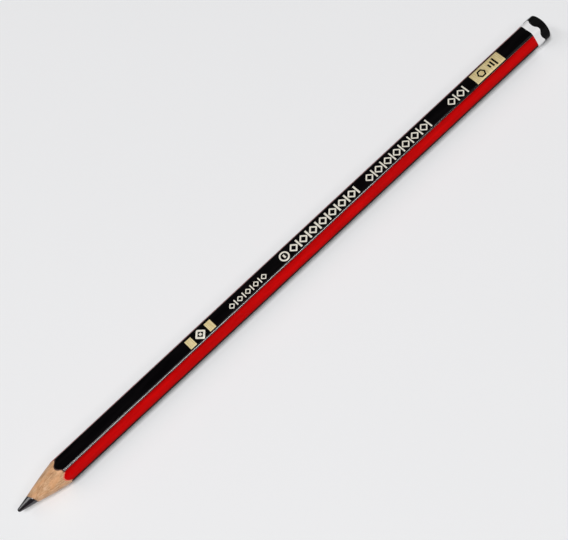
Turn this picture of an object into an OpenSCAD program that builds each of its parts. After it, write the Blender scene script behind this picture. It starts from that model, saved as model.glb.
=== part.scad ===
// A hexagonal wood-cased pencil, sharpened at one end and dipped in colour at the other.
// Two grooved wood slats are glued round a graphite lead, and the barrel is milled to a
// rounded hexagon, lacquered red, striped black on every other face, end-dipped white and
// then black, and sharpened last, so the cone cuts through every layer of it.
//
// Millimetres. +X runs from the writing point to the dipped end, and +Z is up.
// The pencil lies on one flat of its barrel, with a black face on top.
// The origin is the bottom centre of the whole pencil.

/* [Barrel] */
// Overall length, from the writing point to the top of the dipped end
barrel_l = 175; // [60:1:210]
// Distance across the flats of the red barrel
barrel_af = 6.74; // [5.6:0.02:9]
// Radius of the long edges of the red barrel
edge_r = 1.5; // [0.8:0.05:2]

/* [Lead] */
// Diameter of the graphite lead
lead_d = 2.7; // [1.8:0.05:3.4]
// Glue space between the lead and its groove
lead_gap = 0.02; // [0:0.01:0.1]
// How far the lead sits to one side of the barrel's centre line
lead_off = 0.15; // [0:0.05:0.3]

/* [Point] */
// Angle between the sharpened cone and the centre line
cone_angle = 13.1; // [10:0.1:18]
// Radius of the worn tip of the lead
tip_r = 0.5; // [0.1:0.05:0.6]

/* [Lacquer] */
// Thickness of the red lacquer, all of its coats together
lacquer_t = 0.07; // [0.04:0.01:0.3]
// Thickness of the black stripes on top of the red
stripe_t = 0.02; // [0.01:0.01:0.08]
// How far a black stripe runs past the middle of each long edge
stripe_wrap = 0.3; // [0.1:0.05:0.5]

/* [Dipped end] */
// Depth of the white dip, measured from the end of the pencil
white_l = 5; // [4.2:0.1:12]
// Depth of the black dip on the middle of each face
black_l = 3.2; // [2.2:0.1:3.8]
// How far the black dip draws back at the long edges
black_scallop = 0.6; // [0.2:0.05:0.9]
// Thickness of the white dip
white_t = 0.05; // [0.02:0.01:0.12]
// Thickness of the black dip
black_t = 0.05; // [0.02:0.01:0.12]
// Radius of the shallow dome on the end
dome_r = 12; // [8:0.5:40]
// Radius of the rounded rim of the end
rim_r = 0.9; // [0.5:0.05:1.2]

/* [Hidden] */
$fn = 240;

// Across-flats sizes of the layers, from the wood outwards
core_af = barrel_af - 2 * lacquer_t;
stripe_af = barrel_af + 2 * stripe_t;
white_af = stripe_af + 2 * white_t;
black_af = white_af + 2 * black_t;

// The end is inset by this much for the wood and lacquer under both dips
dips_t = white_t + black_t;

// Radius of a long edge of the layer that is af across its flats
function layer_edge_r(af) = edge_r + (af - barrel_af) / 2;

// Distance from the centre line to the middle of a long edge of that layer
function long_edge_reach(af) =
    (af / 2 - layer_edge_r(af)) / cos(30) + layer_edge_r(af);

// A round stands this little proud of the face it blends into, so that the two cross cleanly
round_proud = 0.002;

// Shapes that only cut or bound others run out to this radius, well clear of the barrel
clear_r = barrel_af;
// They run past the pencil's ends by this much
clear_l = 1;

// The cone touches the round tip here
cone_start_x = tip_r - tip_r * sin(cone_angle);
cone_start_r = tip_r * cos(cone_angle);
cone_end_x = cone_start_x + (clear_r - cone_start_r) / tan(cone_angle);

// The rim's round starts this far outside the long edges, so that it only ever cuts them
rim_margin = 0.12;

// The rounded rim's centre, set so that the rim runs smoothly into the dome
rim_centre_r = long_edge_reach(black_af) + rim_margin - rim_r;
rim_centre_x = barrel_l - dome_r
             + sqrt(pow(dome_r - rim_r, 2) - pow(rim_centre_r, 2));

// The rim and the dome meet at this radius
function rim_join_r(inset) = rim_centre_r * (dome_r - inset) / (dome_r - rim_r);

// The edge of the black dip lies on a cone that opens towards the end
scallop_slope = (long_edge_reach(black_af) - black_af / 2) / black_scallop;
scallop_start_r = white_af / 2 - black_t;
scallop_start_x = barrel_l - black_l - (black_af / 2 - scallop_start_r) / scallop_slope;
scallop_end_x = scallop_start_x + (clear_r - scallop_start_r) / scallop_slope;

// Half the width of a black stripe, square across its face
stripe_edge_angle = 30 + stripe_wrap / edge_r * 180 / PI;
stripe_half_w = (barrel_af / 2 - edge_r) * tan(30) + edge_r * sin(stripe_edge_angle);

// Lays a pencil built along +X from its tip at zero down on its flat
module lie_down() {
    translate([-barrel_l / 2, 0, black_af / 2])
        children();
}

// Turns a section drawn in X and Y into a bar along +X, with its Y side up
module bar(from_x, to_x) {
    translate([from_x, 0, 0])
        rotate([90, 0, 90])
            linear_extrude(to_x - from_x)
                children();
}

// A round bar or cone along +X
module round_bar(from_x, to_x, from_r, to_r) {
    translate([from_x, 0, 0])
        rotate([0, 90, 0])
            cylinder(h = to_x - from_x, r1 = from_r, r2 = to_r);
}

// A hexagon with round corners: a sharp hexagon, six flat strips and six corner circles
module rounded_hexagon(af) {
    corner_r = layer_edge_r(af);
    inner_apothem = af / 2 - corner_r;
    strip_w = 2 * inner_apothem * tan(30);
    circle(r = inner_apothem / cos(30), $fn = 6);
    for (side = [0 : 5])
        rotate(60 * side) {
            translate([-strip_w / 2, 0])
                square([strip_w, af / 2]);
            translate([inner_apothem / cos(30), 0])
                circle(r = corner_r + round_proud);
        }
}

// The whole barrel of one layer, from end to end
module layer_bar(af, from_x = -clear_l) {
    bar(from_x, barrel_l + clear_l)
        rounded_hexagon(af);
}

// A solid of revolution about the centre line, drawn as [radius, distance along] points
module turned(points) {
    rotate([0, 90, 0])
        rotate_extrude()
            polygon(points);
}

// Everything that the sharpener leaves: a round tip, the cone, and all of the barrel
module sharpened_form() {
    translate([tip_r, 0, 0])
        sphere(r = tip_r);
    turned([[0, cone_start_x], [cone_start_r, cone_start_x], [clear_r, cone_end_x],
            [clear_r, barrel_l + clear_l], [0, barrel_l + clear_l]]);
}

// A round bar with the pencil's domed end and rounded rim, inset under the dips
module end_form(inset) {
    rotate([0, 90, 0])
        rotate_extrude()
            intersection() {
                union() {
                    translate([0, -clear_l])
                        square([rim_join_r(inset), barrel_l + 2 * clear_l]);
                    translate([0, -clear_l])
                        square([rim_centre_r + rim_r - inset, rim_centre_x + clear_l]);
                    translate([rim_centre_r, rim_centre_x])
                        circle(r = rim_r - inset + round_proud);
                }
                union() {
                    translate([0, barrel_l - dome_r])
                        circle(r = dome_r - inset);
                    translate([0, -clear_l])
                        square([clear_r, barrel_l - dome_r + clear_l]);
                }
                translate([0, -clear_l])
                    square([clear_r, barrel_l + 2 * clear_l]);
            }
}

// One half of the wood, above the glue line, with its half of the groove
module slat() {
    intersection() {
        difference() {
            layer_bar(core_af);
            translate([-2 * clear_l, -clear_r, -clear_r])
                cube([barrel_l + 4 * clear_l, 2 * clear_r, clear_r]);
            translate([0, -lead_off, 0])
                round_bar(-2 * clear_l, barrel_l + 2 * clear_l,
                          lead_d / 2 + lead_gap, lead_d / 2 + lead_gap);
        }
        sharpened_form();
        end_form(dips_t);
    }
}

// The section of one black stripe and all that lies under it, on the upper face
module stripe_section() {
    intersection() {
        rounded_hexagon(stripe_af);
        translate([-stripe_half_w, 0])
            square([2 * stripe_half_w, clear_r]);
    }
}

module black_stripe(turn) {
    color([0.03, 0.03, 0.035])
        lie_down()
            intersection() {
                bar(-clear_l, barrel_l + clear_l)
                    rotate(turn)
                        difference() {
                            stripe_section();
                            rounded_hexagon(barrel_af);
                        }
                sharpened_form();
                end_form(dips_t);
            }
}

module lead() {
    color([0.2, 0.2, 0.22])
        lie_down()
            intersection() {
                translate([0, -lead_off, 0])
                    round_bar(-clear_l, barrel_l + clear_l, lead_d / 2, lead_d / 2);
                sharpened_form();
                end_form(dips_t);
            }
}

module upper_slat() {
    color([0.82, 0.64, 0.44])
        lie_down()
            slat();
}

module lower_slat() {
    color([0.78, 0.6, 0.41])
        lie_down()
            mirror([0, 0, 1])
                slat();
}

module red_lacquer() {
    color([0.74, 0.02, 0.04])
        lie_down()
            intersection() {
                difference() {
                    layer_bar(barrel_af);
                    layer_bar(core_af, -2 * clear_l);
                }
                sharpened_form();
                end_form(dips_t);
            }
}

module white_dip() {
    color([0.93, 0.93, 0.92])
        lie_down()
            difference() {
                intersection() {
                    layer_bar(white_af, barrel_l - white_l);
                    end_form(black_t);
                }
                intersection() {
                    bar(-clear_l, barrel_l + clear_l) {
                        rounded_hexagon(barrel_af);
                        for (turn = [0, 120, 240])
                            rotate(turn)
                                stripe_section();
                    }
                    end_form(dips_t);
                }
            }
}

module black_dip() {
    color([0.03, 0.03, 0.03])
        lie_down()
            difference() {
                intersection() {
                    layer_bar(black_af, scallop_start_x);
                    end_form(0);
                    turned([[0, scallop_start_x], [scallop_start_r, scallop_start_x],
                            [clear_r, scallop_end_x], [clear_r, barrel_l + clear_l],
                            [0, barrel_l + clear_l]]);
                }
                intersection() {
                    layer_bar(white_af);
                    end_form(black_t);
                }
            }
}

lead();
upper_slat();
lower_slat();
red_lacquer();
black_stripe(0);  // black_stripe_1
black_stripe(120);  // black_stripe_2
black_stripe(240);  // black_stripe_3
white_dip();
black_dip();
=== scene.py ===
"""The looks of a sharpened hexagonal pencil: lacquered red and black, dipped white and black.

All sizes are in millimetres until a mesh is written. A place on the barrel is given by its
distance along X, its distance q round the barrel from the middle of the top face towards
the front, and its height above the inner hexagon that all the round corners share.
"""
import math

import bmesh
import bpy
from mathutils import Matrix, Vector, noise


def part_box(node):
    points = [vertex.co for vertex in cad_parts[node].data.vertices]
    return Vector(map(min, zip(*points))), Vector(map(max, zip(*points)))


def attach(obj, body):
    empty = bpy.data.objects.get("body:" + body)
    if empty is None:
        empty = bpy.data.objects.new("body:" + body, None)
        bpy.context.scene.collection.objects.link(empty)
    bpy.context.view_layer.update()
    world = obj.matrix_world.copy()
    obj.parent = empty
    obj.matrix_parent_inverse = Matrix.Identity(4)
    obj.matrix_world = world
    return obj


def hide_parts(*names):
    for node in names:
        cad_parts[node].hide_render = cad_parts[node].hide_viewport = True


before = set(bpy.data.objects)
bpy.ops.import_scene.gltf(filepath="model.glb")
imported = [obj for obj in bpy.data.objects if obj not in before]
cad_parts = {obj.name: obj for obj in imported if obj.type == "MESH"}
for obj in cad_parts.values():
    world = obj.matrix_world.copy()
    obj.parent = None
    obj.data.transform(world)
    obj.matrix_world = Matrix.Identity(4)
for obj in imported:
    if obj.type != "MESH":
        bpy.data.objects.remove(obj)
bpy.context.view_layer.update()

MM = 0.001
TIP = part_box("lead")[0].x / MM
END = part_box("black_dip")[1].x / MM
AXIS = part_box("upper_slat")[0].z / MM

# The barrel's section: six flats joined by round long edges. FLAT_REACH is half its size
# across the flats, and SIDE is the distance round it from the middle of one edge to the next.
FLAT_REACH = 3.37
EDGE_R = 1.5
INNER_REACH = FLAT_REACH - EDGE_R
FLAT_HALF = INNER_REACH * math.tan(math.radians(30))
SIDE = 2 * FLAT_HALF + EDGE_R * math.radians(60)
ROUND = 6 * SIDE

# Heights of the layers above the inner hexagon. Each coat starts a little inside the one
# below, so that no gap shows at its edge.
WOOD = 1.43
RED = 1.5
STRIPE = 1.52
WHITE = 1.57
BLACK = 1.62
FOIL = 1.532
SUNK = 0.01

# The sharpened cone and its blunt tip. The cone swells a little half way, and it leans to the
# back because it was cut off centre.
CONE_LEAN = math.radians(13.1)
SLOPE = math.tan(CONE_LEAN)
TIP_R = 0.5
CONE_X = TIP + TIP_R * (1 - math.sin(CONE_LEAN))
CONE_R = TIP_R * math.cos(CONE_LEAN)
CONE_DEPTH = 12.5
CONE_SWELL = 0.10
POINT_DRIFT = 0.19

# The lead and its groove, a little to the front of the centre line
LEAD_R = 1.35
GROOVE_R = 1.37
LEAD_Y = -0.15

# The black stripes run this far past the middle of each long edge
STRIPE_WRAP = 0.3
STRIPE_HALF = SIDE / 2 + STRIPE_WRAP

# The dipped end. The lacquers stop under the dips, and the rim is tighter on the flats.
COATS_END = END - 1.3
WHITE_DEPTH = 5.0
BLACK_DEPTH = 3.2
BLACK_SCALLOP = 0.6
DOME_R = 15.0
FLAT_RIM_R = 0.45
EDGE_RIM_R = 0.8

# Steps across each flat and round each long edge
FLAT_STEPS = 8
EDGE_STEPS = 16


# ---------------------------------------------------------------- the barrel's section

def skin(q, height):
    """Y and Z, from the centre line, of the outline at distance q round and this height."""
    side = math.floor(q / SIDE + 0.5)
    along = q - side * SIDE
    flat = max(-FLAT_HALF, min(FLAT_HALF, along))
    face = math.radians(60) * side
    normal = face + (along - flat) / EDGE_R
    y = -math.sin(face) * INNER_REACH - math.cos(face) * flat - math.sin(normal) * height
    z = math.cos(face) * INNER_REACH - math.sin(face) * flat + math.cos(normal) * height
    return y, z


def reach(q, height):
    """Distance from the centre line to the outline."""
    return math.hypot(*skin(q, height))


def stations(first_side=-0.5, sides=6, flat_steps=FLAT_STEPS, edge_steps=EDGE_STEPS):
    """Distances round the barrel, closer together on the round long edges.

    They start at the middle of a long edge and go round this many faces.
    """
    half_edge = SIDE / 2 - FLAT_HALF
    half_steps = edge_steps // 2
    found = []
    for number in range(sides):
        start = (first_side + number) * SIDE
        found += [start + half_edge * i / half_steps for i in range(half_steps)]
        found += [start + half_edge + 2 * FLAT_HALF * i / flat_steps
                  for i in range(flat_steps)]
        found += [start + half_edge + 2 * FLAT_HALF + half_edge * i / half_steps
                  for i in range(half_steps)]
    return found + [(first_side + sides) * SIDE]


def cone_x(radius):
    """Where the sharpened cone has this radius."""
    return CONE_X + (radius - CONE_R) / SLOPE


def drift(x):
    """How far the cone leans to the back here."""
    return POINT_DRIFT * max(0.0, 1 - (x - TIP) / CONE_DEPTH)


def wobble(q, x, size, seed):
    """Smooth noise between -1 and 1 that closes on itself round the barrel."""
    angle = 2 * math.pi * q / ROUND
    ring = ROUND / (2 * math.pi) / size
    return noise.noise(Vector((ring * math.cos(angle) + seed, ring * math.sin(angle),
                               x / size)))


def cut_x(q):
    """Where the lacquer starts at this place round the cone, chipped back from the cut."""
    fine = abs(wobble(q, 0, 0.35, 3))
    broad = max(0.0, wobble(q, 0, 1.1, 8))
    return cone_x(reach(q, RED)) + 0.10 * fine + 0.14 * broad


def end_profile(q, height, rim_steps, dome_steps):
    """(x, radius) from the side of the barrel over the rounded rim to near the middle."""
    full_r = FLAT_RIM_R + (EDGE_RIM_R - FLAT_RIM_R) * math.sin(math.pi * q / SIDE) ** 2
    rim_centre_r = reach(q, BLACK) - full_r
    rim_centre_x = END - DOME_R + math.sqrt((DOME_R - full_r) ** 2 - rim_centre_r ** 2)
    inset = BLACK - height
    rim_r = full_r - inset
    wide = reach(q, height) - rim_centre_r
    lean = math.asin(rim_centre_r / (DOME_R - full_r))
    points = []
    for i in range(rim_steps + 1):
        turn = (math.pi / 2 - lean) * i / rim_steps
        points.append((rim_centre_x + rim_r * math.sin(turn),
                       rim_centre_r + wide * math.cos(turn)))
    join_r = points[-1][1]
    for i in range(1, dome_steps):
        radius = join_r * (1 - i / dome_steps)
        points.append((dome_x(radius, inset), radius))
    return points


def dome_x(radius, inset):
    """Where the domed end has this radius, in a layer this far below its surface."""
    return END - DOME_R + math.sqrt((DOME_R - inset) ** 2 - radius ** 2)


def spoke(q, height, x, radius):
    """A point at this radius, in the direction of the outline's point at q."""
    y, z = skin(q, height)
    share = radius / math.hypot(y, z)
    return x, y * share, AXIS + z * share


def on_skin(q, height, x):
    """A point on the outline at q and this height."""
    y, z = skin(q, height)
    return x, y, AXIS + z


# ---------------------------------------------------------------- meshes

def make_piece(name, points, faces, materials, face_slots=None, sharp=40, notes=None):
    """A closed mesh object in metres, its faces turned outwards and smoothed."""
    mesh = bpy.data.meshes.new(name)
    mesh.from_pydata([Vector((x, y + drift(x), z)) * MM for x, y, z in points], [], faces)
    for finish in materials:
        mesh.materials.append(finish)
    if face_slots:
        mesh.polygons.foreach_set("material_index", face_slots)
    if notes:
        for key, values in notes.items():
            layer = mesh.attributes.new(key, "FLOAT", "POINT")
            layer.data.foreach_set("value", values)
    work = bmesh.new()
    work.from_mesh(mesh)
    bmesh.ops.recalc_face_normals(work, faces=work.faces)
    work.to_mesh(mesh)
    work.free()
    mesh.polygons.foreach_set("use_smooth", [True] * len(mesh.polygons))
    mesh.set_sharp_from_angle(angle=math.radians(sharp))
    piece = bpy.data.objects.new(name, mesh)
    bpy.context.scene.collection.objects.link(piece)
    return piece


def weave(rows, ends, slot_of=None):
    """Points and faces of rows of points, each a closed ring.

    ends is "ring" where the last row joins the first, "pole" where the first and last rows
    are single points, "fold" where each end row is closed flat, side to side, and "open"
    where the caller closes both ends. slot_of gives the material slot of a row and column.
    """
    points = []
    starts = []
    for row in rows:
        starts.append(len(points))
        points += row
    faces = []
    slots = []
    count = len(rows)
    joins = count if ends == "ring" else count - 1
    for r in range(joins):
        low, high = rows[r], rows[(r + 1) % count]
        a, b = starts[r], starts[(r + 1) % count]
        size = max(len(low), len(high))
        for i in range(size):
            j = (i + 1) % size
            if len(low) == 1:
                face = (a, b + j, b + i)
            elif len(high) == 1:
                face = (a + i, a + j, b)
            else:
                face = (a + i, a + j, b + j, b + i)
            faces.append(face)
            slots.append(slot_of(r, i) if slot_of else 0)
    if ends == "fold":
        for r in (0, count - 1):
            size = len(rows[r])
            for i in range(size // 2 - 1):
                faces.append(tuple(starts[r] + k
                                   for k in (i, i + 1, size - 2 - i, size - 1 - i)))
                slots.append(0)
    return points, faces, slots


# ---------------------------------------------------------------- finishes

def node(tree, kind, inputs=None, **settings):
    """A shader or geometry node with its settings and inputs; an input may be a socket."""
    made = tree.nodes.new(kind)
    for key, value in settings.items():
        setattr(made, key, value)
    for key, value in (inputs or {}).items():
        if isinstance(value, bpy.types.NodeSocket):
            tree.links.new(value, made.inputs[key])
        else:
            made.inputs[key].default_value = value
    return made


def new_finish(name):
    """A material with a Principled shader, its tree and a source of object coordinates."""
    finish = bpy.data.materials.new(name)
    finish.use_nodes = True
    tree = finish.node_tree
    tree.nodes.clear()
    shader = node(tree, "ShaderNodeBsdfPrincipled")
    node(tree, "ShaderNodeOutputMaterial", {"Surface": shader.outputs["BSDF"]})
    place = node(tree, "ShaderNodeTexCoord").outputs["Object"]
    return finish, tree, shader, place


def mottle(tree, place, size, detail=2.0, shift=0.0):
    """Noise whose blotches are about this many millimetres in X, Y and Z."""
    sized = node(tree, "ShaderNodeMapping",
                 {"Vector": place, "Location": (shift, shift, shift),
                  "Scale": tuple(1 / (MM * s) for s in size)})
    return node(tree, "ShaderNodeTexNoise",
                {"Vector": sized.outputs["Vector"], "Scale": 1.0, "Detail": detail,
                 "Roughness": 0.55}).outputs["Fac"]


def between(tree, value, low, high, out_low=0.0, out_high=1.0):
    """The value's place between low and high, as a value between the two outputs."""
    return node(tree, "ShaderNodeMapRange",
                {"Value": value, "From Min": low, "From Max": high,
                 "To Min": out_low, "To Max": out_high}).outputs["Result"]


def calc(tree, what, first, second):
    """Adds or multiplies two values; each may be a socket or a plain number."""
    made = node(tree, "ShaderNodeMath", operation=what)
    for socket, value in zip(made.inputs, (first, second)):
        if isinstance(value, bpy.types.NodeSocket):
            tree.links.new(value, socket)
        else:
            socket.default_value = value
    return made.outputs["Value"]


def ramp(tree, value, stops):
    """A colour ramp through (position, colour) stops."""
    made = node(tree, "ShaderNodeValToRGB", {"Fac": value})
    band = made.color_ramp
    while len(band.elements) < len(stops):
        band.elements.new(1.0)
    for element, (position, colour) in zip(band.elements, stops):
        element.position = position
        element.color = (*colour, 1.0)
    return made.outputs["Color"]


def blend(tree, share, first, second):
    """Mixes two colours; each may be a socket or a plain colour."""
    made = node(tree, "ShaderNodeMix", data_type="RGBA")
    inputs = [s for s in made.inputs if s.enabled]
    for socket, value in zip(inputs, (share, first, second)):
        if isinstance(value, bpy.types.NodeSocket):
            tree.links.new(value, socket)
        elif socket.type == "RGBA":
            socket.default_value = (*value, 1.0)
        else:
            socket.default_value = value
    return next(s for s in made.outputs if s.enabled)


def relief(tree, height, distance_mm, strength=1.0, below=None):
    """Bump of this depth, on top of an earlier bump if one is given."""
    inputs = {"Height": height, "Distance": distance_mm * MM, "Strength": strength}
    if below is not None:
        inputs["Normal"] = below
    return node(tree, "ShaderNodeBump", inputs).outputs["Normal"]


def lacquer(name, deep, plain, rough, gloss, peel=0.004, edge_shade=None, ior=1.5):
    """Glossy lacquer over wood: the grain shows through faintly, with a few tiny nibs.

    peel is the depth of its orange peel. The last colour, when given, is painted shade: the coat
    is darkened towards the edge of each black stripe, more in some places than in others.
    """
    finish, tree, shader, place = new_finish(name)
    clouds = mottle(tree, place, (9.0, 1.2, 1.2), 3.0)
    grain = mottle(tree, place, (7.0, 0.22, 0.22), 2.0, 3.0)
    orange_peel = mottle(tree, place, (0.9, 0.7, 0.7), 1.0, 7.0)
    nibs = between(tree, mottle(tree, place, (0.16, 0.12, 0.12), 1.0, 11.0), 0.70, 0.78)
    shade = between(tree, calc(tree, "ADD", clouds, calc(tree, "MULTIPLY", grain, 0.5)),
                    0.55, 0.95)
    colour = blend(tree, shade, deep, plain)
    # Painted shade: the colour darkens towards each black stripe's edge, following the coat's
    # mask, in mottled strength.
    if edge_shade:
        painted_shade_near_stripe = node(tree, "ShaderNodeAttribute", attribute_name="painted_shade_near_stripe")
        shade_spread = mottle(tree, place, (1.6, 0.5, 0.5), 3.0, 13.0)
        colour = blend(tree, calc(tree, "MULTIPLY", painted_shade_near_stripe.outputs["Fac"],
                                  between(tree, shade_spread, 0.3, 0.7, 0.45, 0.85)),
                       colour, edge_shade)
    tree.links.new(colour, shader.inputs["Base Color"])
    tree.links.new(between(tree, clouds, 0.3, 0.7, rough * 0.8, rough * 1.25),
                   shader.inputs["Roughness"])
    waves = relief(tree, grain, peel * 0.5, 1.0, relief(tree, orange_peel, peel))
    tree.links.new(relief(tree, nibs, 0.004, 0.6, waves), shader.inputs["Normal"])
    shader.inputs["Specular IOR Level"].default_value = gloss
    shader.inputs["IOR"].default_value = ior
    return finish


def cut_edge(name, under, coat):
    """The coats of lacquer seen edge on where the sharpener has cut them."""
    finish, tree, shader, place = new_finish(name)
    flecks = mottle(tree, place, (0.25, 0.12, 0.12), 2.0)
    tree.links.new(blend(tree, between(tree, flecks, 0.4, 0.6), under, coat),
                   shader.inputs["Base Color"])
    tree.links.new(relief(tree, flecks, 0.01), shader.inputs["Normal"])
    shader.inputs["Roughness"].default_value = 0.6
    shader.inputs["Specular IOR Level"].default_value = 0.3
    return finish


def bare_wood():
    """Freshly cut softwood: long streaks, warm patches, dark pores and a graphite smudge."""
    finish, tree, shader, place = new_finish("bare_wood")
    streaks = mottle(tree, place, (5.0, 0.36, 0.36), 3.0)
    fibres = mottle(tree, place, (1.6, 0.10, 0.10), 2.0, 2.0)
    patches = mottle(tree, place, (2.2, 1.1, 1.1), 2.0, 5.0)
    pores = between(tree, mottle(tree, place, (0.8, 0.13, 0.13), 1.0, 9.0), 0.60, 0.72)
    tone = calc(tree, "ADD", calc(tree, "MULTIPLY", streaks, 0.45),
                calc(tree, "ADD", calc(tree, "MULTIPLY", fibres, 0.25),
                     calc(tree, "MULTIPLY", patches, 0.30)))
    colour = ramp(tree, tone, [(0.37, (0.35, 0.172, 0.076)), (0.46, (0.51, 0.278, 0.134)),
                               (0.54, (0.605, 0.362, 0.20)), (0.64, (0.74, 0.495, 0.335))])
    warm = mottle(tree, place, (3.2, 1.3, 1.3), 1.0, 15.0)
    colour = blend(tree, between(tree, warm, 0.48, 0.66, 0.0, 0.6), colour,
                   (0.72, 0.37, 0.18))
    colour = blend(tree, calc(tree, "MULTIPLY", pores, 0.55), colour, (0.30, 0.15, 0.06))
    near_lead = node(tree, "ShaderNodeAttribute", attribute_name="near_lead")
    smudge = calc(tree, "MULTIPLY", near_lead.outputs["Fac"],
                  between(tree, patches, 0.35, 0.7, 0.15, 0.75))
    colour = blend(tree, smudge, colour, (0.10, 0.075, 0.07))
    tree.links.new(colour, shader.inputs["Base Color"])
    tree.links.new(between(tree, fibres, 0.3, 0.7, 0.5, 0.72), shader.inputs["Roughness"])
    tree.links.new(relief(tree, pores, 0.02, 0.5, relief(tree, fibres, 0.025, 0.8)),
                   shader.inputs["Normal"])
    shader.inputs["Specular IOR Level"].default_value = 0.3
    shader.inputs["Sheen Weight"].default_value = 0.35
    shader.inputs["Sheen Roughness"].default_value = 0.4
    return finish


def graphite():
    """Sharpened lead: dark, with a dull metal sheen and fine turning marks."""
    finish, tree, shader, place = new_finish("graphite")
    rings = mottle(tree, place, (0.06, 0.9, 0.9), 2.0)
    streaks = mottle(tree, place, (1.4, 0.10, 0.10), 2.0, 4.0)
    colour = blend(tree, between(tree, streaks, 0.35, 0.65),
                   (0.006, 0.0045, 0.006), (0.020, 0.016, 0.020))
    tree.links.new(colour, shader.inputs["Base Color"])
    tree.links.new(between(tree, streaks, 0.3, 0.7, 0.10, 0.14), shader.inputs["Roughness"])
    tree.links.new(relief(tree, streaks, 0.003, 0.5, relief(tree, rings, 0.0015, 0.6)),
                   shader.inputs["Normal"])
    shader.inputs["Specular IOR Level"].default_value = 0.9
    return finish


def foil(name, deep, plain, worn_tint):
    """Hot foil, pressed thin over the lacquer, with a faint cross grain and worn spots."""
    finish, tree, shader, place = new_finish(name)
    lines = mottle(tree, place, (0.12, 2.0, 2.0), 1.0)
    worn = mottle(tree, place, (0.5, 0.4, 0.4), 3.0, 6.0)
    colour = blend(tree, between(tree, lines, 0.4, 0.62), deep, plain)
    colour = blend(tree, between(tree, worn, 0.66, 0.78, 0.0, 0.5), colour, worn_tint)
    tree.links.new(colour, shader.inputs["Base Color"])
    tree.links.new(between(tree, worn, 0.3, 0.7, 0.5, 0.65), shader.inputs["Roughness"])
    tree.links.new(relief(tree, lines, 0.003), shader.inputs["Normal"])
    shader.inputs["Metallic"].default_value = 0.45
    return finish


WOOD_FINISH = bare_wood()
LEAD_FINISH = graphite()
# The red's last colour is the painted shade next to the black stripes.
RED_FINISH = lacquer("red_lacquer", (0.485, 0.0010, 0.0014), (0.625, 0.0014, 0.0016), 0.17,
                     gloss=0.04, edge_shade=(0.05, 0.0008, 0.001))
BLACK_FINISH = lacquer("black_lacquer", (0.0016, 0.0013, 0.0017), (0.0040, 0.0034, 0.0038),
                       0.16, gloss=0.05)
POLISHED_FINISH = lacquer("black_lacquer_rubbed_bright", (0.0016, 0.0013, 0.0017),
                          (0.0040, 0.0034, 0.0038), 0.13, gloss=1.0, peel=0.0008,
                          ior=2.3)
CAP_FINISH = lacquer("black_dipping_lacquer", (0.0040, 0.0038, 0.0041),
                     (0.0075, 0.0072, 0.0075), 0.2, gloss=0.045, peel=0.008)
WHITE_FINISH = lacquer("white_dipping_lacquer", (0.79, 0.785, 0.79), (0.87, 0.86, 0.865),
                       0.22, gloss=0.4, peel=0.008)
RED_CUT = cut_edge("cut_red_coats", (0.74, 0.30, 0.18), (0.62, 0.10, 0.07))
BLACK_CUT = cut_edge("cut_black_coats", (0.10, 0.045, 0.03), (0.02, 0.012, 0.012))
PANEL_FOIL = foil("gold_foil", (0.73, 0.58, 0.27), (0.90, 0.76, 0.44), (0.52, 0.40, 0.20))
MARK_FOIL = foil("pale_foil", (0.92, 0.87, 0.74), (0.98, 0.94, 0.84), (0.70, 0.62, 0.45))


# ---------------------------------------------------------------- the lead

def worn_x(x, y, z):
    """Pushes the point back to a tiny slanted facet, where it has lost its sharpness."""
    facet = TIP + 0.03 + 0.12 * y - 0.05 * z
    soft = 0.03
    return 0.5 * (x + facet + math.sqrt((x - facet) ** 2 + soft ** 2))


def make_lead():
    """The lead, from its blunt tip through the barrel to the dips."""
    around = 96
    tip_steps = 70
    barrel_steps = 12
    end_steps = 6
    turning = 0.006
    rim = []
    for i in range(around):
        angle = 2 * math.pi * i / around
        rim.append((LEAD_Y + LEAD_R * math.sin(angle), LEAD_R * math.cos(angle)))

    def pointed(share):
        """The ring of the cone and tip at this share of the lead's radius."""
        row = []
        for y, z in rim:
            radius = math.hypot(y, z) * share
            if radius < CONE_R:
                x = TIP + TIP_R - math.sqrt(TIP_R ** 2 - radius ** 2)
            else:
                x = cone_x(radius)
                x -= turning * noise.noise(Vector((x * 3, y * share * 4, z * share * 4)))
            x = worn_x(x, y * share, z * share)
            row.append((x, y * share, AXIS + z * share))
        return row

    rows = [[(worn_x(TIP, 0, 0), 0.0, AXIS)]]
    rows += [pointed((i / tip_steps) ** 1.3) for i in range(1, tip_steps + 1)]
    inset = BLACK - WOOD
    rows.append([(cone_x(math.hypot(y, z)) + 0.02, y, AXIS + z) for y, z in rim])
    for i in range(1, barrel_steps + 1):
        share = i / barrel_steps
        rows.append([(cone_x(math.hypot(y, z)) * (1 - share)
                      + dome_x(math.hypot(y, z), inset) * share, y, AXIS + z)
                     for y, z in rim])
    for i in range(1, end_steps):
        share = 1 - i / end_steps
        rows.append([(dome_x(math.hypot(y, z) * share, inset), y * share, AXIS + z * share)
                     for y, z in rim])
    rows.append([(END - inset, 0.0, AXIS)])
    points, faces, slots = weave(rows, "pole")
    return make_piece("graphite_lead", points, faces, [LEAD_FINISH], slots)


# ---------------------------------------------------------------- the wood

def groove_reach(y, z):
    """Distance from the centre line to the groove, in the direction of Y and Z."""
    long = math.hypot(y, z)
    lean = y / long * LEAD_Y
    return lean + math.sqrt(lean ** 2 - LEAD_Y ** 2 + GROOVE_R ** 2)


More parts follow.
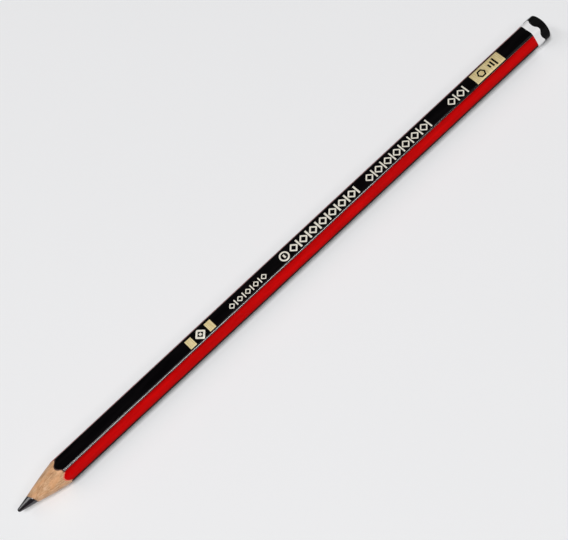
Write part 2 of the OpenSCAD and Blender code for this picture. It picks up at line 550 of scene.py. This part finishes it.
def make_wood(name, first_side):
    """One half of the casing, from the glue line round to the glue line.

    Each row goes along the outside at one place round the barrel, and back in the groove.
    """
    cone_steps = 80
    side_steps = 14
    grain_proud = 0.045
    smudge_length = 0.09
    rows = []
    near_lead = []
    for q in stations(first_side, 3, 18, 24):
        y, z = skin(q, WOOD)
        edge_r = math.hypot(y, z)
        inner_r = groove_reach(y, z)
        outer = []
        for i in range(cone_steps + 1):
            radius = inner_r + (edge_r - inner_r) * i / cone_steps
            x = cone_x(radius)
            if 0 < i < cone_steps:
                share = radius / edge_r
                grain = noise.noise(Vector((x * 0.5, y * share * 5, z * share * 5)))
                x += grain_proud * (grain + 0.6)
            up_cone = min(1.0, (radius - inner_r) / (FLAT_REACH - inner_r))
            outer.append((x, radius + CONE_SWELL * math.sin(math.pi * up_cone)))
        back = end_profile(q, WOOD, 4, 6)[:7]
        for i in range(1, side_steps):
            share = i / side_steps
            outer.append((outer[cone_steps][0] * (1 - share) + back[0][0] * share, edge_r))
        outer += back
        outer.append((dome_x(inner_r, BLACK - WOOD), inner_r))
        ring = [spoke(q, WOOD, x, radius) for x, radius in outer]
        ring += [spoke(q, WOOD, x, inner_r) for x, radius in reversed(outer[1:-1])]
        rows.append(ring)
        marks = [math.exp(-(radius - inner_r) / smudge_length) for x, radius in outer]
        marks[cone_steps + 1:] = [0.0] * (len(outer) - cone_steps - 1)
        near_lead += marks + [1.0] * (len(outer) - 2)
    points, faces, slots = weave(rows, "open")
    size = len(rows[0])
    half = size // 2
    for start in (0, len(points) - size):
        for i in range(half):
            face = [start + i, start + i + 1, start + (size - i - 1) % size,
                    start + (size - i) % size]
            faces.append(tuple(dict.fromkeys(face)))
            slots.append(0)
    return make_piece(name, points, faces, [WOOD_FINISH], slots,
                      notes={"near_lead": near_lead})


# ---------------------------------------------------------------- the lacquer

def under_stripe(q):
    """Whether a black stripe covers this place round the barrel."""
    side = math.floor(q / SIDE + 0.5)
    return side % 2 == 0 or abs(q - side * SIDE) > SIDE / 2 - STRIPE_WRAP


def past_stripe(q):
    """Distance from the nearest edge of a black stripe, or zero under a stripe."""
    side = math.floor(q / SIDE + 0.5)
    return 0.0 if under_stripe(q) else SIDE / 2 - STRIPE_WRAP - abs(q - side * SIDE)


def make_red():
    """The red coat, a tube whose front edge shows its coats where the sharpener cut them."""
    around = stations()[:-1]
    starts = [cut_x(q) for q in around]
    outer_steps = 60
    inner_steps = 12
    # How far the painted shade next to a stripe fades into the red, in millimetres.
    shade_fade_width = 0.32
    round_in = 0.03
    rows = [[on_skin(q, WOOD, cone_x(reach(q, WOOD))) for q in around],
            [on_skin(q, RED - 0.012, x - 0.02) for q, x in zip(around, starts)],
            [on_skin(q, RED, x + round_in) for q, x in zip(around, starts)]]
    for i in range(1, outer_steps + 1):
        share = i / outer_steps
        rows.append([on_skin(q, RED, (x + round_in) * (1 - share) + COATS_END * share)
                     for q, x in zip(around, starts)])
    for i in range(inner_steps + 1):
        share = i / inner_steps
        rows.append([on_skin(q, WOOD, COATS_END * (1 - share)
                             + (cone_x(reach(q, WOOD)) + 0.4) * share) for q in around])

    def slot_of(row, column):
        """Red but for the cut band, which is darker where a stripe covers it."""
        if 1 < row < len(rows) - 1:
            return 0
        return 2 if under_stripe(around[column]) else 1

    points, faces, slots = weave(rows, "ring", slot_of)
    # Painted shade mask: one at each stripe's edge, fading away into the red.
    stripe_shade_mask = [math.exp(-past_stripe(q) / shade_fade_width) for q in around] * len(rows)
    return make_piece("red_coat", points, faces, [RED_FINISH, RED_CUT, BLACK_CUT], slots,
                      notes={"painted_shade_near_stripe": stripe_shade_mask})


def make_stripe(name, side):
    """A thin black stripe over one face and just past its two long edges."""
    across = [round(q - side * SIDE, 6) for q in stations(side - 1, 3)]
    across = sorted({q for q in across if abs(q) < STRIPE_HALF - 0.02}
                    | {-STRIPE_HALF, STRIPE_HALF})
    steps = 100
    thin = 0.004
    wander = 0.022
    rows = []
    for i in range(steps + 1):
        share = i / steps
        upper = []
        lower = []
        for q in across:
            u = q / STRIPE_HALF
            way = math.copysign(1, u)
            x_near = TIP + 12 + (END - TIP - 13) * share
            spread = wander * wobble(side * SIDE + way * STRIPE_HALF, x_near, 2.2, 9)
            place = side * SIDE + q + spread * abs(u) ** 3 * way
            height = STRIPE if abs(q) < STRIPE_HALF else RED + thin
            first = cut_x(place)
            if i == 0:
                upper.append(on_skin(place, height - 0.008, first))
            else:
                upper.append(on_skin(place, height,
                                     (first + 0.02) * (1 - share) + COATS_END * share))
            lower.append(on_skin(place, RED - SUNK,
                                 first * (1 - share) + COATS_END * share))
        rows.append(upper + lower[::-1])

    def slot_of(row, column):
        """Rubbed bright along the front long edge of the top face."""
        if side != 0 or column > len(across) - 2:
            return 0
        middle = 0.5 * (across[column] + across[column + 1])
        return 1 if abs(middle - SIDE / 2) < STRIPE_WRAP else 0

    points, faces, slots = weave(rows, "fold", slot_of)
    return make_piece(name, points, faces, [BLACK_FINISH, POLISHED_FINISH], slots)


# ---------------------------------------------------------------- the dipped end

def white_start(q):
    """Where the white dip starts: nearly straight round the barrel."""
    return END - WHITE_DEPTH + 0.07 * wobble(q, 0, 1.6, 31)


def black_start(q):
    """Where the black dip starts: drawn back at the long edges, with one run on the top."""
    run_middle = -1.0
    run_half_width = 0.7
    run_length = 0.28
    bay = math.sin(math.pi * q / SIDE) ** 2
    off_run = (q - run_middle + ROUND / 2) % ROUND - ROUND / 2
    return (END - BLACK_DEPTH + BLACK_SCALLOP * bay + 0.10 * wobble(q, 0, 1.0, 41)
            + 0.05 * wobble(q, 0, 0.4, 43)
            - run_length * math.exp(-(off_run / run_half_width) ** 2))


def make_dip(name, height, below, start, finish):
    """A coat left by dipping the end: a soft edge, the side, the rim and the domed end."""
    around = stations()[:-1]
    inner = below - SUNK
    side_steps = 9
    edge_width = 0.2
    edge_rises = ((0.0, 0.3), (0.015, 0.65), (0.045, 0.9), (0.09, 1.0), (edge_width, 1.0))
    outer_ends = [end_profile(q, height, 14, 18) for q in around]
    inner_ends = [end_profile(q, inner, 6, 10) for q in around]
    rows = [[(END - (BLACK - inner), 0.0, AXIS)]]
    for i in range(len(inner_ends[0]) - 1, -1, -1):
        rows.append([spoke(q, inner, *inner_ends[k][i]) for k, q in enumerate(around)])
    rows.append([on_skin(q, inner, start(q) + 0.02) for q in around])
    for step, rise in edge_rises:
        rows.append([on_skin(q, below + (height - below) * rise, start(q) + step)
                     for q in around])
    for i in range(1, side_steps):
        share = i / side_steps
        rows.append([on_skin(q, height, (start(q) + edge_width) * (1 - share)
                             + outer_ends[k][0][0] * share) for k, q in enumerate(around)])
    for i in range(len(outer_ends[0])):
        rows.append([spoke(q, height, *outer_ends[k][i]) for k, q in enumerate(around)])
    rows.append([(END - (BLACK - height), 0.0, AXIS)])
    points, faces, slots = weave(rows, "pole")
    return make_piece(name, points, faces, [finish], slots, sharp=60)


# ---------------------------------------------------------------- the foil print

def foil_row_tree():
    """A row of upright bars and open rings by turns. A ring with four corners is a lozenge."""
    tree = bpy.data.node_groups.new("foil_row", "GeometryNodeTree")
    tree.interface.new_socket("Geometry", in_out="INPUT", socket_type="NodeSocketGeometry")
    sizes = (("Count", "NodeSocketInt", 5), ("Pitch", "NodeSocketFloat", 1.0),
             ("Bar Width", "NodeSocketFloat", 0.3), ("Bar Height", "NodeSocketFloat", 2.0),
             ("Ring Corners", "NodeSocketInt", 4), ("Ring Radius", "NodeSocketFloat", 1.0),
             ("Ring Stroke", "NodeSocketFloat", 0.3), ("Thickness", "NodeSocketFloat", 0.02),
             ("Material", "NodeSocketMaterial", None))
    for label, kind, value in sizes:
        socket = tree.interface.new_socket(label, in_out="INPUT", socket_type=kind)
        if value is not None:
            socket.default_value = value
    tree.interface.new_socket("Geometry", in_out="OUTPUT", socket_type="NodeSocketGeometry")
    given = node(tree, "NodeGroupInput").outputs
    offset = node(tree, "ShaderNodeCombineXYZ", {"X": given["Pitch"]})
    line = node(tree, "GeometryNodeMeshLine",
                {"Count": given["Count"], "Offset": offset.outputs["Vector"]})
    size = node(tree, "ShaderNodeCombineXYZ",
                {"X": given["Bar Width"], "Y": given["Bar Height"], "Z": given["Thickness"]})
    bar = node(tree, "GeometryNodeMeshCube",
               {"Size": size.outputs["Vector"], "Vertices Y": 15})
    circle = node(tree, "GeometryNodeCurvePrimitiveCircle",
                  {"Resolution": given["Ring Corners"], "Radius": given["Ring Radius"]})
    cuts = node(tree, "GeometryNodeSubdivideCurve",
                {"Curve": circle.outputs["Curve"], "Cuts": 6})
    stroke = node(tree, "GeometryNodeCurvePrimitiveQuadrilateral",
                  {"Width": given["Ring Stroke"], "Height": given["Thickness"]})
    ring = node(tree, "GeometryNodeCurveToMesh",
                {"Curve": cuts.outputs["Curve"], "Profile Curve": stroke.outputs["Curve"]})
    shapes = node(tree, "GeometryNodeJoinGeometry")
    for shape in (bar.outputs["Mesh"], ring.outputs["Mesh"]):
        single = node(tree, "GeometryNodeGeometryToInstance", {"Geometry": shape})
        tree.links.new(single.outputs["Instances"], shapes.inputs["Geometry"])
    turn = node(tree, "ShaderNodeMath", operation="MODULO")
    tree.links.new(node(tree, "GeometryNodeInputIndex").outputs["Index"], turn.inputs[0])
    turn.inputs[1].default_value = 2.0
    placed = node(tree, "GeometryNodeInstanceOnPoints",
                  {"Points": line.outputs["Mesh"], "Instance": shapes.outputs["Geometry"],
                   "Pick Instance": True, "Instance Index": turn.outputs["Value"]})
    whole = node(tree, "GeometryNodeRealizeInstances",
                 {"Geometry": placed.outputs["Instances"]})
    painted = node(tree, "GeometryNodeSetMaterial",
                   {"Geometry": whole.outputs["Geometry"], "Material": given["Material"]})
    node(tree, "NodeGroupOutput", {"Geometry": painted.outputs["Geometry"]})
    return tree


def foil_row(tree, **sizes):
    """The plain mesh of one row, drawn flat and in millimetres."""
    holder = bpy.data.objects.new("foil_row", bpy.data.meshes.new("foil_row"))
    bpy.context.scene.collection.objects.link(holder)
    modifier = holder.modifiers.new("row", "NODES")
    modifier.node_group = tree
    sizes = {key.replace("_", " ").title(): value for key, value in sizes.items()}
    sizes["Material"] = MARK_FOIL
    for item in tree.interface.items_tree:
        if item.in_out == "INPUT" and item.name in sizes:
            modifier[item.identifier] = sizes[item.name]
    evaluated = holder.evaluated_get(bpy.context.evaluated_depsgraph_get())
    mesh = bpy.data.meshes.new_from_object(evaluated)
    bpy.data.objects.remove(holder)
    return mesh


def foil_panel(outline, cutouts):
    """The plain mesh of a flat panel with openings, drawn in millimetres."""
    curve = bpy.data.curves.new("foil_panel", "CURVE")
    curve.dimensions = "2D"
    curve.fill_mode = "BOTH"
    curve.extrude = 0.01
    for corners in [outline, *cutouts]:
        spline = curve.splines.new("POLY")
        spline.points.add(len(corners) - 1)
        for point, (x, y) in zip(spline.points, corners):
            point.co = (x, y, 0, 1)
        spline.use_cyclic_u = True
    holder = bpy.data.objects.new("foil_panel", curve)
    bpy.context.scene.collection.objects.link(holder)
    evaluated = holder.evaluated_get(bpy.context.evaluated_depsgraph_get())
    mesh = bpy.data.meshes.new_from_object(evaluated)
    bpy.data.objects.remove(holder)
    return mesh


def hexagon(radius, x):
    """Corners of a regular hexagon on the panel's middle line."""
    return [(x + radius * math.cos(math.radians(60 * i)), radius * math.sin(math.radians(60 * i)))
            for i in range(6)]


def block(x0, x1, y0, y1):
    """Corners of a rectangle."""
    return [(x0, y0), (x1, y0), (x1, y1), (x0, y1)]


# Each row of marks on the top face: its distance from the point, its distance towards the
# back, how many marks it has and how far apart they are, the width and height of its bars, and
# the corners, radius and stroke of its rings. The two marks of a close row lie on one another.
FOIL_ROWS = (
    (58.35, -0.15, 2, 0.001, 0.7, 0.7, 4, 1.3, 0.5),
    (68.4, -0.37, 9, 1.3, 0.32, 1.7, 4, 0.72, 0.26),
    (85.8, -0.15, 2, 0.001, 0.5, 1.0, 24, 1.15, 0.4),
    (88.9, -0.15, 14, 1.62, 0.5, 2.5, 4, 1.05, 0.42),
    (114.4, -0.2, 14, 1.56, 0.4, 2.6, 4, 1.05, 0.36),
    (142.8, -0.25, 4, 1.6, 0.4, 2.5, 4, 1.05, 0.36),
)
PANEL_Y = -0.15


def make_print():
    """Pale gold marks on the top face: plain bars, lozenges, rings and panels."""
    tree = foil_row_tree()
    work = bmesh.new()
    bends = (-1.75, -1.6, -1.45, -1.3, -1.15, 1.15, 1.3, 1.45)
    apart = 0.0005

    def lay(mesh, x, y, slot=1):
        """Adds a flat mesh here, cut into strips so that it can follow the round edges."""
        piece = bmesh.new()
        piece.from_mesh(mesh)
        for face in piece.faces:
            face.material_index = slot
        bmesh.ops.remove_doubles(piece, verts=piece.verts, dist=apart)
        bmesh.ops.translate(piece, verts=piece.verts, vec=(x, y, 0))
        for at in bends:
            bmesh.ops.bisect_plane(
                piece, geom=piece.verts[:] + piece.edges[:] + piece.faces[:],
                plane_co=(0, at, 0), plane_no=(0, 1, 0), dist=apart)
        piece.to_mesh(mesh)
        piece.free()
        work.from_mesh(mesh)
        bpy.data.meshes.remove(mesh)

    for x in (54.3, 60.5):
        lay(foil_panel(block(0, 1.9, -1.3, 1.3), []), x, PANEL_Y, 0)
    for x, y, count, pitch, bar_width, bar_height, corners, radius, stroke in FOIL_ROWS:
        lay(foil_row(tree, count=count, pitch=pitch, bar_width=bar_width,
                     bar_height=bar_height, ring_corners=corners, ring_radius=radius,
                     ring_stroke=stroke, thickness=0.02), x, y)
    cutouts = [hexagon(1.28, 1.9), hexagon(0.8, 1.9)]
    for step, tall in enumerate((0.6, 0.9, 1.2)):
        left = 4.4 + 0.95 * step
        cutouts.append(block(left, left + 0.52, -tall, tall))
    lay(foil_panel(block(-0.9, 8.8, -1.65, 1.7), cutouts), 151.6, PANEL_Y, 0)

    for vert in work.verts:
        x, y, z = vert.co
        height = FOIL if z > 0 else STRIPE - SUNK
        vert.co = Vector(on_skin(-y, height, TIP + x))
    points = [tuple(v.co) for v in work.verts]
    work.verts.index_update()
    faces = [tuple(v.index for v in f.verts) for f in work.faces]
    slots = [f.material_index for f in work.faces]
    work.free()
    return make_piece("foil_print", points, faces, [PANEL_FOIL, MARK_FOIL], slots, sharp=30)


# ---------------------------------------------------------------- putting it together

PIECES = (
    (make_lead(), "lead", "graphite"),
    (make_wood("wood_half_upper", -1.5), "upper_slat", "wood"),
    (make_wood("wood_half_lower", 1.5), "lower_slat", "wood"),
    (make_red(), "red_lacquer", "red_lacquer"),
    (make_stripe("black_stripe_top", 0), "black_stripe_1", "black_lacquer"),
    (make_stripe("black_stripe_front", 2), "black_stripe_2", "black_lacquer"),
    (make_stripe("black_stripe_back", 4), "black_stripe_3", "black_lacquer"),
    (make_dip("white_dipped_ring", WHITE, STRIPE, white_start, WHITE_FINISH),
     "white_dip", "white_lacquer"),
    (make_dip("black_dipped_cap", BLACK, WHITE, black_start, CAP_FINISH),
     "black_dip", "black_lacquer"),
    (make_print(), None, "gold_foil"),
)
for piece, stands_for, slot in PIECES:
    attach(piece, "root")
    if stands_for:
        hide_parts(stands_for)


# ---------------------------------------------------------------- floor, light and camera

def make_floor():
    """A wide pale floor, a hair below the pencil."""
    finish, tree, shader, place = new_finish("pale_floor")
    tone = mottle(tree, place, (60.0, 60.0, 60.0), 2.0)
    tree.links.new(blend(tree, tone, (0.868, 0.870, 0.880), (0.882, 0.884, 0.894)),
                   shader.inputs["Base Color"])
    shader.inputs["Roughness"].default_value = 0.9
    shader.inputs["Specular IOR Level"].default_value = 0.1
    half = 3
    z = -0.02 * MM
    mesh = bpy.data.meshes.new("floor")
    mesh.from_pydata([(-half, -half, z), (half, -half, z), (half, half, z), (-half, half, z)],
                     [], [(0, 1, 2, 3)])
    mesh.materials.append(finish)
    floor = bpy.data.objects.new("floor", mesh)
    bpy.context.scene.collection.objects.link(floor)


def make_lamp(name, towards, distance, width, length, watts):
    """A soft rectangular lamp this far away in a direction, facing the barrel.

    Its length lies as near to the barrel's own direction as it can. Sizes are in metres.
    """
    lamp = bpy.data.lights.new(name, "AREA")
    lamp.shape = "RECTANGLE"
    lamp.size = length
    lamp.size_y = width
    lamp.energy = watts
    holder = bpy.data.objects.new(name, lamp)
    back = Vector(towards).normalized()
    side = (Vector((1, 0, 0)) - back * back.x).normalized()
    up = back.cross(side)
    holder.matrix_world = Matrix((side, up, back)).transposed().to_4x4()
    holder.location = back * distance + Vector((0, 0, AXIS * MM))
    bpy.context.scene.collection.objects.link(holder)


def make_world():
    """Dim plain light all round, seen by the camera as the floor's own pale colour."""
    world = bpy.data.worlds.new("studio")
    world.use_nodes = True
    tree = world.node_tree
    tree.nodes.clear()
    seen = node(tree, "ShaderNodeBackground", {"Color": (0.82, 0.82, 0.83, 1)})
    cast = node(tree, "ShaderNodeBackground", {"Color": (0.03, 0.03, 0.031, 1)})
    path = node(tree, "ShaderNodeLightPath")
    mix = node(tree, "ShaderNodeMixShader", {"Fac": path.outputs["Is Camera Ray"]})
    tree.links.new(cast.outputs["Background"], mix.inputs[1])
    tree.links.new(seen.outputs["Background"], mix.inputs[2])
    node(tree, "ShaderNodeOutputWorld", {"Surface": mix.outputs["Shader"]})
    bpy.context.scene.world = world


def make_camera():
    """Looks down on the pencil from its front, with the point at the lower left."""
    camera = bpy.data.cameras.new("camera")
    camera.sensor_width = 36
    camera.lens = 88.3
    camera.clip_start = 0.01
    camera.clip_end = 20
    holder = bpy.data.objects.new("camera", camera)
    right = Vector((0.72052, -0.66344, -0.20173))
    up = Vector((0.67099, 0.59365, 0.44424))
    back = right.cross(up).normalized()
    up = back.cross(right).normalized()
    holder.matrix_world = Matrix((right.normalized(), up, back)).transposed().to_4x4()
    holder.location = Vector((-62.19, -153.66, 296.04)) * MM
    bpy.context.scene.collection.objects.link(holder)
    bpy.context.scene.camera = holder


# The main lamp casts the shadow to the front. The back one gives the lead its streak and
# softens the shadow. The strip is mirrored by the rubbed long edge.
make_floor()
make_lamp("main_softbox", (-0.25, -0.315, 0.915), 3.0, 1.33, 0.60, 72.3)
make_lamp("back_softbox", (-0.47, 0.373, 0.80), 1.5, 1.4, 0.315, 4.1)
make_lamp("edge_strip", (0.118, -0.650, 0.752), 1.69, 0.26, 0.70, 2.35)
make_world()
make_camera()
bpy.context.scene.view_settings.view_transform = "Standard"
